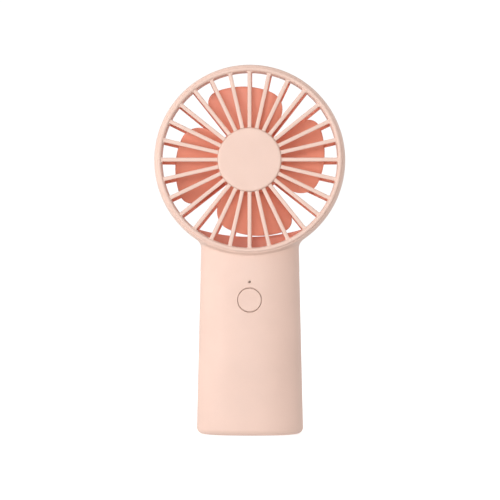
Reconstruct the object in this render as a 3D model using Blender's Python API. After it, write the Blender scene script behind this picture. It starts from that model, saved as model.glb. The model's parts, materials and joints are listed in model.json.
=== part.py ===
"""Handheld electric fan: a round caged head on an oval handle, built as separate pieces.

Driving sizes are in millimetres and are turned into metres when each mesh is made.
+X is to the right of someone facing the front grille, -Y is the front, +Z is up.
The origin is the middle of the flat base.
"""

import math

import bmesh
import bpy
from mathutils import Vector

MM = 0.001
TURN = 2.0 * math.pi

# Head
HEAD_Z = 138.0
RING_RADIUS = 48.0
RING_FRONT_Y = -16.5
RING_REAR_Y = 10.0
LIP_RADIUS = 46.3
LIP_BORE = 44.9
RING_BORE = 46.6
REAR_LIP_RADIUS = 47.7
REAR_REBATE = 47.1
REAR_REBATE_Y = 8.4
REAR_SEAT = 48.2
RING_STEPS = 72
GRILLE_OPENING = 43.8
GRILLE_RIM = 45.95
REAR_OPENING = 46.2
REAR_SPIGOT = 46.9
REAR_RIM = 47.6
SKIRT_RADIUS = 44.7
SKIRT_END_Y = 9.5
RIB_COUNT = 28
RIB_WIDTH = 2.0
RIB_DEPTH = 2.2
HUB_RING = 15.4
HUB_STEP = 16.2
CAP_RADIUS = 15.9
FACE_Y = 18.0
RIB_FACE_Y = 17.2
CAP_SEAT_Y = 16.3

# Handle
HANDLE_HALF_WIDTH = 27.05
HANDLE_TAPER = 0.0235
HANDLE_FRONT = 14.5
HANDLE_REAR = 15.0
HANDLE_REAR_TOP = 9.3
HANDLE_REAR_BEND = 72.0
HANDLE_TOP = 98.2
FLARE_START = 94.8
FLARE_RADIUS = 4.0
BASE_ROUND = 3.0
OVAL_POWER = 2.4
OVAL_STEPS = 32
WALL = 1.8
FLOOR = 2.6
HALF_GAP = 0.15
PAD_HALF_WIDTH = 18.0
PAD_HALF_DEPTH = 7.5
PAD_THICK = 1.0
FIT_GAP = 0.3

# Impeller and motor
HUB_RADIUS = 16.9
HUB_WALL = 1.4
ROTOR_SEAT = 12.9
ROTOR_SEAT_WALL = 1.1
HUB_FRONT_Y = -11.5
HUB_REAR_Y = 3.0
BLADE_COUNT = 4
BLADE_ROOT = 16.1
BLADE_MID_RADIUS = 37.6
BLADE_RADIUS_SLOPE = 0.078
BLADE_LEAD = 37.7
BLADE_TRAIL = -37.0
BLADE_LEAD_ROUND = 8.5
BLADE_TRAIL_ROUND = 12.0
BLADE_MID_Y = -4.0
BLADE_TWIST = 0.165
BLADE_THICK = 1.3
BEARING_TUBE = 3.2
SHAFT_RADIUS = 0.75
POLE_COUNT = 6
POLE_WIDTH = 2.2
STATOR_RADIUS = 9.4
STATOR_FRONT_Y = -5.0
STATOR_REAR_Y = 1.0
MOTOR_SCREW_RADIUS = 9.0

# Controls
BUTTON_Z = 68.0
BUTTON_RADIUS = 5.8
BUTTON_HOLE = 6.2
LED_Z = 77.0
BOARD_FRONT_Y = -9.2
BOARD_BACK_Y = -8.2

# Cells and charging port
CELL_RADIUS = 9.15
CELL_LENGTH = 65.0
CELL_X = 9.6
CELL_Y = 2.4
CELL_BOTTOM = 11.5
PORT_Z = 6.65
PORT_MOUTH_Y = 14.2

SCREW_SPOTS = ((-19.0, 6.0), (19.0, 6.0), (-15.5, 88.0), (15.5, 88.0))
POST_REAR_Y = (9.8, 9.8, 8.6, 8.6)
POST_FRONT_Y = -9.5
POST_RADIUS = 2.8
BOARD_SCREW_SPOTS = ((-10.0, 82.0), (10.0, 82.0))


# ---------------------------------------------------------------- materials

def linear(channel):
    """One display colour channel (0 to 255) as a linear value."""
    value = channel / 255.0
    if value <= 0.04045:
        return value / 12.92
    return ((value + 0.055) / 1.055) ** 2.4


def make_material(name, colour, roughness, metallic=0.0):
    """A plain Principled material with a display colour."""
    material = bpy.data.materials.new(name)
    material.use_nodes = True
    shader = material.node_tree.nodes["Principled BSDF"]
    shader.inputs["Base Color"].default_value = (*[linear(channel) for channel in colour], 1.0)
    shader.inputs["Roughness"].default_value = roughness
    shader.inputs["Metallic"].default_value = metallic
    material.diffuse_color = shader.inputs["Base Color"].default_value
    return material


# ---------------------------------------------------------------- mesh helpers

def add_object(name, points, faces, material, origin):
    """A mesh object whose points are millimetres from its own origin."""
    mesh = bpy.data.meshes.new(name)
    mesh.from_pydata([Vector(point) * MM for point in points], [], faces)
    shape = bmesh.new()
    shape.from_mesh(mesh)
    bmesh.ops.recalc_face_normals(shape, faces=shape.faces)
    shape.to_mesh(mesh)
    shape.free()
    piece = bpy.data.objects.new(name, mesh)
    piece.location = Vector(origin) * MM
    bpy.context.scene.collection.objects.link(piece)
    if material is not None:
        mesh.materials.append(material)
        mesh.shade_smooth()
        mesh.set_sharp_from_angle(angle=math.radians(32.0))
    return piece


def bridge(loops, closed):
    """Quads between neighbouring loops of equal length; the last joins the first when closed."""
    count = len(loops[0])
    last = len(loops) if closed else len(loops) - 1
    faces = []
    for row in range(last):
        here = loops[row]
        there = loops[(row + 1) % len(loops)]
        for step in range(count):
            after = (step + 1) % count
            faces.append((here[step], here[after], there[after], there[step]))
    return faces


def number_loops(sections):
    """All the section points in one list, with the index loop of each section."""
    points = []
    loops = []
    for section in sections:
        loops.append(list(range(len(points), len(points) + len(section))))
        points.extend(section)
    return points, loops


def loft(name, sections, material, origin=(0.0, 0.0, 0.0)):
    """A closed body through sections of equal point count, capped at both ends."""
    points, loops = number_loops(sections)
    faces = bridge(loops, closed=False)
    faces.append(tuple(reversed(loops[0])))
    faces.append(tuple(loops[-1]))
    return add_object(name, points, faces, material, origin)


def circle_y(radius, depth, steps, centre=(0.0, 0.0)):
    """Points round the Y axis at one depth."""
    cx, cz = centre
    angles = [TURN * step / steps for step in range(steps)]
    return [(cx + radius * math.sin(angle), depth, cz + radius * math.cos(angle)) for angle in angles]


def circle_z(radius, height, steps, centre=(0.0, 0.0)):
    """Points round the Z axis at one height."""
    cx, cy = centre
    angles = [TURN * step / steps for step in range(steps)]
    return [(cx + radius * math.cos(angle), cy + radius * math.sin(angle), height) for angle in angles]


def turned(name, profile, steps, material, origin, ring=circle_y):
    """A solid of revolution from (radius, station) pairs, capped flat at its two ends."""
    return loft(name, [ring(radius, station, steps) for radius, station in profile], material, origin)


def turned_ring(name, profile, steps, material, origin, ring=circle_y):
    """A ring of revolution from a closed (radius, station) outline."""
    points, loops = number_loops([ring(radius, station, steps) for radius, station in profile])
    return add_object(name, points, bridge(loops, closed=True), material, origin)


def block(name, low, high, material, origin=(0.0, 0.0, 0.0)):
    """A box between two corners given in millimetres."""
    x0, y0, z0 = low
    x1, y1, z1 = high
    bottom = [(x0, y0, z0), (x1, y0, z0), (x1, y1, z0), (x0, y1, z0)]
    top = [(x, y, z1) for x, y, z in bottom]
    return loft(name, [bottom, top], material, origin)


def islands(name, section_lists):
    """Several separate closed bodies in one guide object."""
    points = []
    faces = []
    for sections in section_lists:
        own_points, loops = number_loops(sections)
        start = len(points)
        points.extend(own_points)
        own_faces = bridge(loops, closed=False)
        own_faces.append(tuple(reversed(loops[0])))
        own_faces.append(tuple(loops[-1]))
        faces.extend(tuple(start + index for index in face) for face in own_faces)
    return as_guide(add_object(name, points, faces, None, (0.0, 0.0, 0.0)))


def as_guide(piece):
    """Hide a cutter or filler from the finished object."""
    piece.hide_render = True
    piece.display_type = "WIRE"
    return piece


def combine(piece, guide, operation):
    """Add an exact Boolean step to a piece."""
    step = piece.modifiers.new(guide.name, "BOOLEAN")
    step.object = guide
    step.operation = operation
    step.solver = "EXACT"


def oval(half_width, front, rear, height, steps=OVAL_STEPS, power=OVAL_POWER):
    """A rounded oval at one height with its own front and rear depths."""
    points = []
    for step in range(steps):
        angle = TURN * step / steps
        across = math.cos(angle)
        along = math.sin(angle)
        x = math.copysign(abs(across) ** (2.0 / power), across) * half_width
        reach = rear if along > 0.0 else front
        y = math.copysign(abs(along) ** (2.0 / power), along) * reach
        points.append((x, y, height))
    return points


def stadium_y(half_width, half_height, depth, height, steps=16):
    """A flat-sided slot outline facing Y."""
    straight = half_width - half_height
    points = []
    for step in range(steps):
        angle = TURN * (step + 0.5) / steps
        side = math.copysign(straight, math.cos(angle))
        points.append((side + half_height * math.cos(angle), depth, height + half_height * math.sin(angle)))
    return points


def smooth_path(knots, steps_each):
    """A soft curve through the knots."""
    ends = [knots[0]] + list(knots) + [knots[-1]]
    path = []
    for index in range(len(knots) - 1):
        a, b, c, d = [Vector(point) for point in ends[index:index + 4]]
        for step in range(steps_each):
            t = step / steps_each
            path.append(0.5 * ((2.0 * b) + (c - a) * t + (2.0 * a - 5.0 * b + 4.0 * c - d) * t ** 2
                               + (3.0 * b - a - 3.0 * c + d) * t ** 3))
    path.append(Vector(knots[-1]))
    return path


def wire(name, knots, radius, material, sides=6, steps_each=3):
    """A round wire along a soft curve."""
    path = smooth_path(knots, steps_each)
    side = Vector((1.0, 0.0, 0.0))
    sections = []
    for index, point in enumerate(path):
        ahead = path[min(index + 1, len(path) - 1)] - path[max(index - 1, 0)]
        ahead.normalize()
        side = (side - ahead * side.dot(ahead)).normalized()
        other = ahead.cross(side)
        ring = []
        for step in range(sides):
            angle = TURN * step / sides
            ring.append(tuple(point + side * math.cos(angle) * radius + other * math.sin(angle) * radius))
        sections.append(ring)
    return loft(name, sections, material)


# ---------------------------------------------------------------- case

def handle_widths(height):
    """Half width, front depth and rear depth of the handle at one height."""
    half_width = HANDLE_HALF_WIDTH - HANDLE_TAPER * height
    if height > FLARE_START:
        rise = height - FLARE_START
        half_width += FLARE_RADIUS - math.sqrt(FLARE_RADIUS ** 2 - rise ** 2)
    rear = HANDLE_REAR
    if height > HANDLE_REAR_BEND:
        part = (height - HANDLE_REAR_BEND) / (HANDLE_TOP - HANDLE_REAR_BEND)
        rear += (HANDLE_REAR_TOP - HANDLE_REAR) * 0.5 * (1.0 - math.cos(math.pi * part))
    return half_width, HANDLE_FRONT, rear


def handle_body():
    """The outside of the handle as one solid."""
    sections = []
    round_steps = 4
    for step in range(round_steps):
        angle = 0.25 * TURN * step / round_steps
        height = BASE_ROUND * (1.0 - math.cos(angle))
        inset = BASE_ROUND * (1.0 - math.sin(angle))
        half_width, front, rear = handle_widths(height)
        sections.append(oval(half_width - inset, front - inset, rear - inset, height))
    for height in (BASE_ROUND, 72.0, 78.0, 84.0, 90.0, 94.8, 96.2, 97.4, HANDLE_TOP):
        sections.append(oval(*handle_widths(height), height))
    return sections


def handle_hollow():
    """The space inside the handle walls."""
    sections = []
    corner = 1.4
    for height, inset in ((FLOOR, corner), (FLOOR + corner, 0.0)):
        half_width, front, rear = handle_widths(height)
        inside = WALL + inset
        sections.append(oval(half_width - inside, front - inside, rear - inside, height))
    for height in (72.0, 78.0, 84.0, 90.0, 94.6):
        half_width, front, rear = handle_widths(height)
        sections.append(oval(half_width - WALL, front - WALL, rear - WALL, height))
    return islands("handle_hollow", [sections])


def ring_blank():
    """The outside of the head ring as a filled disc."""
    profile = (
        (LIP_RADIUS, RING_FRONT_Y), (47.2, -14.6), (47.8, -11.6), (RING_RADIUS, -8.5),
        (RING_RADIUS, 4.5), (47.85, 7.8), (REAR_LIP_RADIUS, RING_REAR_Y),
    )
    return as_guide(turned("ring_blank", profile, RING_STEPS, None, (0.0, 0.0, HEAD_Z)))


def ring_bore():
    """The space inside the head ring: narrower at the front lip, with a rebate for the rear grille."""
    reach = 20.0
    profile = (
        (LIP_BORE, -reach), (LIP_BORE, -14.0), (RING_BORE, -11.0), (RING_BORE, REAR_REBATE_Y),
        (REAR_REBATE, REAR_REBATE_Y), (REAR_REBATE, RING_REAR_Y), (REAR_SEAT, RING_REAR_Y), (REAR_SEAT, reach),
    )
    return as_guide(turned("ring_bore", profile, RING_STEPS, None, (0.0, 0.0, HEAD_Z)))


def screw_posts():
    """Posts for the four case screws and the two board screws."""
    lists = []
    for (x, z), rear in zip(SCREW_SPOTS, POST_REAR_Y):
        lists.append([circle_y(POST_RADIUS, y, 14, (x, z)) for y in (POST_FRONT_Y, rear)])
    for x, z in BOARD_SCREW_SPOTS:
        lists.append([circle_y(1.9, y, 10, (x, z)) for y in (-12.6, BOARD_FRONT_Y - FIT_GAP)])
    return islands("screw_posts", lists)


def screw_bores():
    """Stepped bores for the case screws, and blind ones for the board screws."""
    stepped = ((1.1, -7.5), (1.1, 4.4), (1.95, 4.4), (1.95, 20.0))
    lists = []
    for x, z in SCREW_SPOTS:
        lists.append([circle_y(radius, y, 14, (x, z)) for radius, y in stepped])
    for x, z in BOARD_SCREW_SPOTS:
        lists.append([circle_y(0.95, y, 10, (x, z)) for y in (-12.2, -6.0)])
    return islands("screw_bores", lists)


def half_space(name, y0, y1):
    """A block that removes one half of the case."""
    return as_guide(block(name, (-60.0, y0, -10.0), (60.0, y1, 200.0), None))


def pad_recess():
    """The shallow recess for the foot pad."""
    width = PAD_HALF_WIDTH + FIT_GAP
    depth = PAD_HALF_DEPTH + FIT_GAP
    return islands("pad_recess", [[oval(width, depth, depth, z) for z in (-2.0, PAD_THICK + FIT_GAP)]])


def front_openings():
    """The button hole and the indicator hole."""
    lists = [
        [circle_y(BUTTON_HOLE, y, 32, (0.0, BUTTON_Z)) for y in (-20.0, -9.0)],
        [circle_y(0.7, y, 12, (0.0, LED_Z)) for y in (-20.0, -9.0)],
    ]
    return islands("front_openings", lists)


def rear_openings():
    """The charging slot and the slot that lets the motor leads into the handle."""
    lead_slot = [
        [(-2.0, 4.4, z), (2.0, 4.4, z), (2.0, 7.2, z), (-2.0, 7.2, z)] for z in (87.0, 95.5)
    ]
    port = [stadium_y(4.85, 2.0, y, PORT_Z) for y in (9.0, 18.0)]
    return islands("rear_openings", [lead_slot, port])


def case_half(name, material, cut_half, openings, guides):
    """One half of the clamshell case."""
    hollow, blank, bore, posts, bores, recess = guides
    shell = loft(name, handle_body(), material)
    combine(shell, hollow, "DIFFERENCE")
    combine(shell, blank, "UNION")
    combine(shell, bore, "DIFFERENCE")
    combine(shell, posts, "UNION")
    combine(shell, cut_half, "DIFFERENCE")
    combine(shell, bores, "DIFFERENCE")
    combine(shell, recess, "DIFFERENCE")
    combine(shell, openings, "DIFFERENCE")
    return shell


def case(material):
    """Both halves of the case."""
    guides = (handle_hollow(), ring_blank(), ring_bore(), screw_posts(), screw_bores(), pad_recess())
    rear_block = half_space("rear_block", -HALF_GAP, 40.0)
    front_block = half_space("front_block", -40.0, HALF_GAP)
    case_half("front_shell", material, rear_block, front_openings(), guides)
    case_half("rear_shell", material, front_block, rear_openings(), guides)


def base_pad(material):
    """The soft foot set flush in the base."""
    sections = [oval(PAD_HALF_WIDTH, PAD_HALF_DEPTH, PAD_HALF_DEPTH, z) for z in (0.0, PAD_THICK)]
    loft("base_pad", sections, material)


# ---------------------------------------------------------------- grilles

def rib_angles(radius, half_width):
    """Station angles round the rim: both edges of every rib and two points in each gap."""
    pitch = TURN / RIB_COUNT
    edge = min(math.asin(half_width / radius), 0.36 * pitch)
    angles = []
    for rib in range(RIB_COUNT):
        start = rib * pitch
        angles.append(start - edge)
        angles.append(start + edge)
        angles.append(start + 0.5 * pitch)
    return angles


def grille_loop(radius, depth):
    """One loop of stations round the head axis."""
    return [(radius * math.sin(angle), depth, radius * math.cos(angle))
            for angle in rib_angles(radius, 0.5 * RIB_WIDTH)]


def grille(name, rim, hub, rib_rows, material):
    """Rim, hub and ribs in one body; rib_rows run outward from the hub as (radius, face, back)."""
    points, loops = number_loops([grille_loop(radius, depth) for radius, depth in rim + hub])
    rim_loops = loops[:len(rim)]
    hub_loops = loops[len(rim):]
    stations = len(loops[0])
    rib_stations = set(range(0, stations, 3))
    faces = []
    for group in (rim_loops, hub_loops):
        for row, loop in enumerate(group):
            there = group[(row + 1) % len(group)]
            for step in range(stations):
                if row == 0 and step in rib_stations:
                    continue
                after = (step + 1) % stations
                faces.append((loop[step], loop[after], there[after], there[step]))
    middle = []
    for radius, face, back in rib_rows:
        for depth in (face, back):
            middle.append(list(range(len(points), len(points) + stations)))
            points.extend(grille_loop(radius, depth))
    for step in rib_stations:
        after = step + 1
        rows = [(hub_loops[0], hub_loops[1])]
        rows += [(middle[2 * index], middle[2 * index + 1]) for index in range(len(rib_rows))]
        rows += [(rim_loops[0], rim_loops[1])]
        for (face_in, back_in), (face_out, back_out) in zip(rows, rows[1:]):
            faces.append((face_in[step], face_in[after], face_out[after], face_out[step]))
            faces.append((back_in[after], back_in[step], back_out[step], back_out[after]))
            faces.append((face_in[after], back_in[after], back_out[after], face_out[after]))
            faces.append((back_in[step], face_in[step], face_out[step], back_out[step]))
    used = sorted({index for face in faces for index in face})
    renumber = {old: new for new, old in enumerate(used)}
    faces = [tuple(renumber[index] for index in face) for face in faces]
    return add_object(name, [points[index] for index in used], faces, material, (0.0, 0.0, HEAD_Z))


def front_grille(material):
    """The front grille: rim with a rounded crest, skirt, ribs and cap seat."""
    rib_back = -(RIB_FACE_Y - RIB_DEPTH)
    rim = [
        (GRILLE_OPENING, -RIB_FACE_Y), (GRILLE_OPENING, rib_back), (GRILLE_OPENING, -SKIRT_END_Y),
        (SKIRT_RADIUS, -SKIRT_END_Y), (SKIRT_RADIUS, -16.8), (GRILLE_RIM, -16.8), (GRILLE_RIM, -17.5),
        (45.6, -FACE_Y), (44.7, -FACE_Y),
    ]
    hub = [(HUB_RING, -CAP_SEAT_Y), (HUB_RING, rib_back), (10.5, rib_back), (10.5, -CAP_SEAT_Y)]
    rows = [(HUB_STEP, -CAP_SEAT_Y, rib_back), (HUB_STEP + 0.05, -RIB_FACE_Y, rib_back)]
    grille("front_grille", rim, hub, rows, material)


def chin_guide():
    """The solid crescent that closes the bottom of the rear grille."""
    outer = 46.5
    arc_radius = 95.0
    arc_low = -38.2
    half_span = 31.0
    steps = 14
    top = []
    for step in range(steps + 1):
        x = half_span * (1.0 - 2.0 * step / steps)
        top.append((x, arc_low + arc_radius - math.sqrt(arc_radius ** 2 - x ** 2)))
    end = math.atan2(half_span, -top[0][1])
    low = []
    for step in range(1, steps):
        angle = -end + 2.0 * end * step / steps
        low.append((outer * math.sin(angle), -outer * math.cos(angle)))
    outline = top + low
    sections = [[(x, y, HEAD_Z + z) for x, z in outline] for y in (9.3, 11.0)]
    return islands("chin_guide", [sections])


def motor_screw_angles():
    """Where the three motor screws sit round the head axis."""
    return [TURN * (index / 3.0) for index in range(3)]


def motor_screw_spot(angle):
    """The x and z of one motor screw from the head axis."""
    return MOTOR_SCREW_RADIUS * math.sin(angle), MOTOR_SCREW_RADIUS * math.cos(angle)


def motor_screw_bores(name, radius, y0, y1):
    """Three plain bores for the motor screws."""
    lists = []
    for angle in motor_screw_angles():
        x, z = motor_screw_spot(angle)
        lists.append([circle_y(radius, y, 10, (x, HEAD_Z + z)) for y in (y0, y1)])
    return islands(name, lists)


def rear_grille(material):
    """The domed rear grille with its chin and the thick hub that carries the motor."""
    flange_y = RING_REAR_Y + 0.1
    rim = [
        (REAR_OPENING, 11.4), (REAR_OPENING, 9.2), (REAR_OPENING, REAR_REBATE_Y + 0.2),
        (REAR_SPIGOT, REAR_REBATE_Y + 0.2), (REAR_SPIGOT, flange_y), (REAR_RIM, flange_y),
        (REAR_RIM, 10.9), (47.1, 11.4),
    ]
    hub = [(HUB_RING, CAP_SEAT_Y), (HUB_RING, 15.0), (HUB_RING, 10.4), (4.0, 10.4), (4.0, CAP_SEAT_Y)]
    rows = [(HUB_STEP, CAP_SEAT_Y, 15.0), (HUB_STEP + 0.05, RIB_FACE_Y, 15.0)]
    for radius, face in ((27.0, 15.9), (36.0, 13.5)):
        rows.append((radius, face, face - RIB_DEPTH))
    piece = grille("rear_grille", rim, hub, rows, material)
    combine(piece, chin_guide(), "UNION")
    combine(piece, motor_screw_bores("seat_bores", 1.0, 9.0, 14.2), "DIFFERENCE")


def hub_cap(name, material, front):
    """A plain round cap with a soft edge over the middle of a grille."""
    sign = -1.0 if front else 1.0
    seat = CAP_SEAT_Y + FIT_GAP
    profile = [
        (CAP_RADIUS, seat), (CAP_RADIUS, 17.3), (15.6, 17.8), (14.9, FACE_Y),
    ]
    turned(name, [(radius, sign * depth) for radius, depth in profile], 36, material, (0.0, 0.0, HEAD_Z))


# ---------------------------------------------------------------- impeller

def blade_tip(angle):
    """Tip radius of a blade at an angle in degrees from its middle, with both corners rounded."""
    base = BLADE_MID_RADIUS + BLADE_RADIUS_SLOPE * angle
    for edge, rounding in ((BLADE_LEAD, BLADE_LEAD_ROUND), (BLADE_TRAIL, BLADE_TRAIL_ROUND)):
        along = math.radians(abs(edge - angle)) * base
        if along < rounding:
            base += math.sqrt(rounding ** 2 - (rounding - along) ** 2) - rounding
    return base


def blade_sections(turn, rows):
    """The closed outline sections of one twisted blade, from its trailing to its leading edge."""
    stops = (-37.0, -35.8, -33.0, -28.0, -22.0, -12.0, 0.0, 12.0, 22.0, 28.0, 32.5, 35.5, 37.1, 37.7)
    sections = []
    for degrees in stops:
        tip = blade_tip(degrees)
        thick = 0.5 * BLADE_THICK
        if degrees in (stops[0], stops[-1]):
            thick *= 0.45
        centre = BLADE_MID_Y + BLADE_TWIST * degrees
        angle = math.radians(turn - degrees)
        front = []
        back = []
        for row in range(rows + 1):
            radius = BLADE_ROOT + (tip - BLADE_ROOT) * row / rows
            x = radius * math.sin(angle)
            z = radius * math.cos(angle)
            taper = 0.6 if row == rows else 1.0
            front.append((x, centre - thick * taper, z))
            back.append((x, centre + thick * taper, z))
        sections.append(front + back[::-1])
    return sections


def impeller(material):
    """Hub with an inner wall round the rotor cup, and four twisted blades, turning about the head axis."""
    inside_y = HUB_FRONT_Y + HUB_WALL
    seat_outside = ROTOR_SEAT + ROTOR_SEAT_WALL
    wall_inside = HUB_RADIUS - HUB_WALL
    profile = (
        (ROTOR_SEAT, HUB_REAR_Y), (seat_outside, HUB_REAR_Y), (seat_outside, inside_y), (wall_inside, inside_y),
        (wall_inside, HUB_REAR_Y), (HUB_RADIUS, HUB_REAR_Y), (HUB_RADIUS, HUB_FRONT_Y + 1.0),
        (HUB_RADIUS - 0.3, HUB_FRONT_Y + 0.3), (HUB_RADIUS - 1.0, HUB_FRONT_Y), (1.2, HUB_FRONT_Y),
        (1.2, inside_y), (ROTOR_SEAT, inside_y),
    )
    hub = turned_ring("impeller", profile, 36, material, (0.0, 0.0, HEAD_Z))
    lists = [blade_sections(360.0 * index / BLADE_COUNT, 3) for index in range(BLADE_COUNT)]
    blades = islands("blades", lists)
    blades.location = (0.0, 0.0, HEAD_Z * MM)
    combine(hub, blades, "UNION")


# ---------------------------------------------------------------- motor

def at_head(name, profile, steps, material):
    """A ring about the head axis."""
    return turned_ring(name, profile, steps, material, (0.0, 0.0, HEAD_Z))


def rotor(steel, magnet, bright):
    """Steel cup, ring magnet and shaft that turn with the impeller."""
    cup = ((1.1, -9.8), (12.6, -9.8), (12.6, 2.4), (11.6, 2.4), (11.6, -8.8), (1.1, -8.8))
    at_head("rotor_cup", cup, 28, steel)
    at_head("rotor_magnet", ((9.9, -6.5), (11.4, -6.5), (11.4, 2.0), (9.9, 2.0)), 28, magnet)
    profile = ((0.55, -11.3), (SHAFT_RADIUS, -11.0), (SHAFT_RADIUS, 7.2), (0.55, 7.5))
    turned("motor_shaft", profile, 14, bright, (0.0, 0.0, HEAD_Z))


def star_point(radius, angle, depth):
    """A point from the head axis by radius and angle."""
    return (radius * math.sin(angle), depth, radius * math.cos(angle))


def stator_core(material):
    """The six-pole laminated core with its bore for the bearing tube."""
    root = 5.2
    tip_inner = 8.3
    half_tip = math.radians(22.0)
    outline = []
    for pole in range(POLE_COUNT):
        middle = TURN * pole / POLE_COUNT
        for radius, side in ((root, -1), (tip_inner, -1)):
            outline.append((radius, middle + side * math.asin(0.5 * POLE_WIDTH / radius)))
        outline.append((tip_inner, middle - half_tip))
        for part in (-1.0, -0.5, 0.0, 0.5, 1.0):
            outline.append((STATOR_RADIUS, middle + part * half_tip))
        outline.append((tip_inner, middle + half_tip))
        for radius, side in ((tip_inner, 1), (root, 1)):
            outline.append((radius, middle + side * math.asin(0.5 * POLE_WIDTH / radius)))
    ends = (STATOR_FRONT_Y, STATOR_REAR_Y)
    sections = [[star_point(radius, angle, depth) for radius, angle in outline] for depth in ends]
    core = loft("stator_core", sections, material, (0.0, 0.0, HEAD_Z))
    bore = islands("stator_bore", [[circle_y(BEARING_TUBE + 0.2, y, 20, (0.0, HEAD_Z)) for y in (-9.0, 5.0)]])
    combine(core, bore, "DIFFERENCE")


def stator_windings(material):
    """One copper coil round each pole."""
    low = 5.9
    high = 7.9
    for pole in range(POLE_COUNT):
        turn = TURN * pole / POLE_COUNT
        sections = []
        for radius, grow in ((low, 0.15), (low, 0.75), (high, 1.05), (high, 0.15)):
            half = 0.5 * POLE_WIDTH + grow
            front = STATOR_FRONT_Y - grow
            back = STATOR_REAR_Y + grow
            corners = ((-half, front), (half, front), (half, back), (-half, back))
            sections.append([
                (x * math.cos(turn) + radius * math.sin(turn), y, radius * math.cos(turn) - x * math.sin(turn))
                for x, y in corners
            ])
        points, loops = number_loops(sections)
        name = f"stator_winding_{pole + 1}"
        add_object(name, points, bridge(loops, closed=True), material, (0.0, 0.0, HEAD_Z))


def bearings(brass, steel):
    """Bearing tube with a bearing at each end."""
    tube = ((2.5, -7.0), (BEARING_TUBE, -7.0), (BEARING_TUBE, 9.9), (2.5, 9.9))
    at_head("bearing_tube", tube, 20, brass)
    for name, y0, y1 in (("bearing_front", -6.8, -4.3), ("bearing_rear", 4.2, 6.7)):
        ring = ((0.9, y0), (2.3, y0), (2.3, y1), (0.9, y1))
        at_head(name, ring, 18, steel)


def motor_mount(board, plastic, bright):
    """Motor board, mounting plate and its three screws."""
    at_head("motor_board", ((3.7, 2.3), (9.5, 2.3), (9.5, 3.1), (3.7, 3.1)), 24, board)
    plate = ((3.5, 5.9), (5.6, 5.9), (5.6, 8.3), (12.0, 8.3), (12.0, 9.7), (3.5, 9.7))
    base = at_head("motor_base", plate, 28, plastic)
    combine(base, motor_screw_bores("plate_bores", 1.0, 7.5, 10.1), "DIFFERENCE")
    for index, angle in enumerate(motor_screw_angles()):
        x, z = motor_screw_spot(angle)
        profile = ((1.2, 6.9), (1.6, 7.2), (1.6, 8.1), (0.75, 8.1), (0.75, 13.6))
        turned(f"motor_screw_{index + 1}", profile, 12, bright, (x, 0.0, HEAD_Z + z))


# ---------------------------------------------------------------- controls

def power_button(material):
    """The round push button with a flange behind the case wall."""
    profile = (
        (5.3, -14.45), (5.65, -14.3), (BUTTON_RADIUS, -13.95), (BUTTON_RADIUS, -12.05),
        (6.6, -12.05), (6.6, -11.45),
    )
    turned("power_button", profile, 32, material, (0.0, 0.0, BUTTON_Z))


def switch(body_material, plunger_material):
    """The push switch on the board, with its own plunger."""
    body = block("switch_body", (-3.0, -10.5, BUTTON_Z - 3.0), (3.0, BOARD_FRONT_Y - 0.1, BUTTON_Z + 3.0),
                 body_material)
    well = islands("switch_well", [[circle_y(1.8, y, 16, (0.0, BUTTON_Z)) for y in (-11.5, -9.55)]])
    combine(body, well, "DIFFERENCE")
    turned("switch_plunger", ((1.5, -11.15), (1.5, -10.35)), 16, plunger_material, (0.0, 0.0, BUTTON_Z))


def indicator(clear, pale):
    """Light pipe in the case wall and the light behind it."""
    profile = ((0.35, -14.5), (0.48, -14.35), (0.48, -12.2), (1.2, -12.2), (1.2, -11.4))
    turned("led_light_pipe", profile, 12, clear, (0.0, 0.0, LED_Z))
    block("led_chip", (-0.8, -10.1, LED_Z - 0.5), (0.8, BOARD_FRONT_Y - 0.1, LED_Z + 0.5), pale)


def main_board(board, black, grey, alloy, bright):
    """The control board with its larger parts and two screws."""
    piece = block("main_board", (-13.0, BOARD_FRONT_Y, 55.0), (13.0, BOARD_BACK_Y, 84.6), board)
    lists = [[circle_y(0.95, y, 12, spot) for y in (-10.0, -7.0)] for spot in BOARD_SCREW_SPOTS]
    combine(piece, islands("board_bores", lists), "DIFFERENCE")
    front = BOARD_FRONT_Y - 0.1
    block("control_chip", (-11.0, -10.1, 73.5), (-6.0, front, 77.8), black)
    block("power_inductor", (6.0, -10.7, 73.0), (11.0, front, 78.0), grey)
    capacitor = ((1.5, -10.6), (1.7, -10.4), (1.7, front))
    turned("storage_capacitor", capacitor, 14, alloy, (-10.0, 0.0, 59.0))
    for index, (x, z) in enumerate(BOARD_SCREW_SPOTS):
        profile = ((0.7, -11.8), (0.7, -8.1), (1.5, -8.1), (1.5, -7.4), (1.1, -7.1))
        turned(f"board_screw_{index + 1}", profile, 12, bright, (x, 0.0, z))


# ---------------------------------------------------------------- cells, port and wires

def cells(wrap, holder_plastic, nickel):
    """Two cells, the holder behind the board and the contact strips."""
    top = CELL_BOTTOM + CELL_LENGTH
    profile = ((8.7, 0.0), (CELL_RADIUS, 0.5), (CELL_RADIUS, CELL_LENGTH - 0.5), (8.7, CELL_LENGTH))
    for name, x in (("battery_cell_left", -CELL_X), ("battery_cell_right", CELL_X)):
        turned(name, profile, 28, wrap, (x, CELL_Y, CELL_BOTTOM), ring=circle_z)
    outline = (
        (-7.8, 9.4), (8.0, 9.4), (8.0, 10.5), (-7.05, 10.5),
        (-7.05, top + 0.9), (8.0, top + 0.9), (8.0, top + 2.0), (-7.8, top + 2.0),
    )
    sections = [[(x, y, z) for y, z in outline] for x in (-16.6, 16.6)]
    loft("battery_holder", sections, holder_plastic)
    block("battery_strip_top", (-13.0, -1.0, top + 0.3), (13.0, 7.0, top + 0.6), nickel)
    block("battery_strip_left", (-13.0, -1.0, 10.8), (-6.0, 7.0, 11.1), nickel)
    block("battery_strip_right", (6.0, -1.0, 10.8), (13.0, 7.0, 11.1), nickel)


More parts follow.
